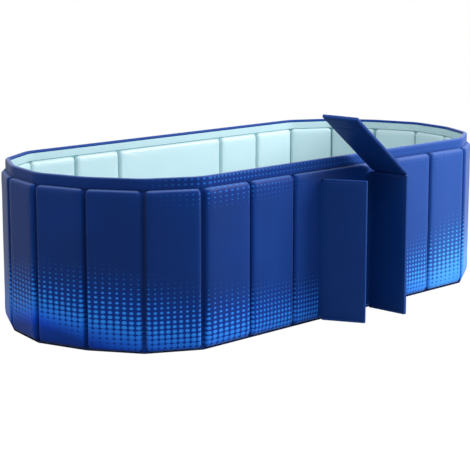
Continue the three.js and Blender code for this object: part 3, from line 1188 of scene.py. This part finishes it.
def at_drain(piece):
    """Lays a turned piece along the drain's axis, outwards through the back wall."""
    piece.data.transform(Matrix.Translation(DRAIN_AT) @ Matrix.Rotation(-math.pi / 2, 4, "X"))


def make_fitting(name, profile, ring, body, node_name, grip_at=None):
    """Turns a piece of the drain, ribs it where it is gripped and puts it in its place."""
    piece = turned(name, profile)
    close_lathe(piece, ring)
    if grip_at:
        grip(piece, *grip_at)
    at_drain(piece)
    smooth(piece, 35)
    dress(piece, WHITE, body, [node_name])


def make_drain():
    seal_face = -INNER_FACE - DRAIN_GAP
    flange_face = seal_face - 0.0015 - DRAIN_GAP
    flange_end = flange_face - 0.0025
    nut_face = OUTER_FACE + DRAIN_GAP
    spout_end = OUTER_FACE + 0.026

    spout = [(DRAIN_BORE, flange_end + 0.0006), (0.0121, flange_end), (0.0222, flange_end),
             (DRAIN_FLANGE, flange_end + 0.0008), (DRAIN_FLANGE, flange_face),
             (DRAIN_TUBE, flange_face), (DRAIN_TUBE, nut_face + 0.0085)]
    place = nut_face + 0.0095
    while place < spout_end - 0.003:
        spout += [(DRAIN_THREAD, place), (DRAIN_TUBE, place + 0.0007),
                  (DRAIN_TUBE, place + 0.0011), (DRAIN_THREAD, place + 0.0018)]
        place += DRAIN_THREAD_PITCH
    spout += [(0.0146, spout_end - 0.0007), (0.0140, spout_end), (0.0120, spout_end),
              (DRAIN_BORE, spout_end - 0.0005), (DRAIN_BORE, flange_end + 0.0006)]
    make_fitting("drain_spout_tube", spout, True, "back_wall", "drain_spout")

    nut = [(0.0153, nut_face), (0.0205, nut_face), (DRAIN_NUT, nut_face + 0.0007),
           (DRAIN_NUT, nut_face + 0.0073), (0.0204, nut_face + 0.008), (0.0158, nut_face + 0.008),
           (0.0153, nut_face + 0.0075), (0.0153, nut_face)]
    make_fitting("drain_grip_nut", nut, True, "back_wall", "drain_nut",
                 (DRAIN_NUT, nut_face + 0.0006, nut_face + 0.0074, 0.0007))

    mouth = spout_end + DRAIN_GAP - 0.014
    end = spout_end + DRAIN_GAP
    cap = [(0.0120, end), (0.0148, end), (0.0153, end - 0.0005), (0.0153, mouth + 0.0005),
           (0.0157, mouth), (0.0178, mouth), (DRAIN_CAP, mouth + 0.0006), (DRAIN_CAP, end + 0.0013),
           (0.0176, end + 0.0025), (0.0130, end + 0.0025), (0.0118, end + 0.0018),
           (0.0060, end + 0.0016)]
    make_fitting("drain_grip_cap", cap, False, "drain_cap", "drain_cap",
                 (DRAIN_CAP, mouth + 0.0005, end + 0.0014, 0.0006))


# ------------------------ everything together

rod = make_pads()
make_bands(rod)
remove(rod)
make_floor()
make_table()
make_drain()

# The foam boards and the seal keep their CAD shapes
for name, part in frame["nodes"].items():
    finish = FOAM if "board" in name else RUBBER
    for place in part.material_slots:
        place.material = finish


# ------------------------ floor, light and camera

FLOOR_GREY = 0.42
FLOOR_WHITE = 1.105
FLOOR_WHITE_SHARE = 0.88
SKY_STRENGTH = 0.55


def blend_shaders(tree, share, first, second, out):
    """Goes from one shader to another by a share, into an output."""
    blend = tree.nodes.new("ShaderNodeMixShader")
    for socket, source in zip(blend.inputs, (share, first.outputs[0], second.outputs[0])):
        tree.links.new(source, socket)
    tree.links.new(blend.outputs[0], tree.nodes.new(out).inputs["Surface"])


def stage():
    """A pale floor that the camera sees nearly white, with the tub's shadow, under a soft sky."""
    ground = added("studio_floor", bpy.ops.mesh.primitive_plane_add, size=40, location=(0, 0, 0))
    material = bpy.data.materials.new("studio_floor")
    material.use_nodes = True
    tree = material.node_tree
    tree.nodes.clear()
    matt = node(tree, "ShaderNodeBsdfDiffuse", Color=(FLOOR_GREY, FLOOR_GREY, FLOOR_GREY, 1))
    white = node(tree, "ShaderNodeEmission", Color=(1, 1, 1, 1), Strength=FLOOR_WHITE)
    ray = tree.nodes.new("ShaderNodeLightPath")
    seen = math_node(tree, "MULTIPLY", ray.outputs["Is Camera Ray"], FLOOR_WHITE_SHARE)
    blend_shaders(tree, seen, matt, white, "ShaderNodeOutputMaterial")
    ground.data.materials.append(material)

    world = bpy.data.worlds.new("studio")
    bpy.context.scene.world = world
    world.use_nodes = True
    tree = world.node_tree
    tree.nodes.clear()
    light = node(tree, "ShaderNodeBackground", Color=(0.93, 0.96, 1.0, 1), Strength=SKY_STRENGTH)
    clear = node(tree, "ShaderNodeBackground", Color=(1, 1, 1, 1), Strength=1.0)
    ray = tree.nodes.new("ShaderNodeLightPath")
    seen = ray.outputs["Is Camera Ray"]
    for kind in ("Is Glossy Ray", "Is Transmission Ray"):
        seen = math_node(tree, "ADD", seen, ray.outputs[kind], True)
    blend_shaders(tree, seen, light, clear, "ShaderNodeOutputWorld")


def hang(name, data, place):
    obj = bpy.data.objects.new(name, data)
    bpy.context.collection.objects.link(obj)
    obj.location = place
    return obj


def softbox(name, place, target, size, power, colour=(1, 1, 1)):
    lamp = bpy.data.lights.new(name, "AREA")
    lamp.shape = "RECTANGLE"
    lamp.size, lamp.size_y = size
    lamp.energy = power
    lamp.color = colour
    obj = hang(name, lamp, place)
    obj.rotation_euler = (Vector(target) - Vector(place)).to_track_quat("-Z", "Y").to_euler()


def photographer():
    camera = bpy.data.cameras.new("camera")
    camera.sensor_width = 36
    camera.lens = 116.9
    camera.clip_end = 100
    obj = hang("camera", camera, (-3.5946, -3.4065, 1.1295))
    obj.rotation_euler = (math.radians(90 - 10.653), 0, math.radians(44.073 - 90))
    bpy.context.scene.camera = obj


stage()
softbox("key", (2.3, -2.1, 1.5), (0.2, -0.39, 0.25), (1.4, 1.4), 112)
softbox("top", (-0.9, -1.5, 3.0), (-0.1, 0, 0.3), (2.6, 2.2), 66)
softbox("side", (-3.0, 1.6, 1.6), (0.3, 0.0, 0.3), (1.5, 1.5), 24, (1.0, 0.84, 0.68))
photographer()
bpy.context.scene.view_settings.view_transform = "Standard"
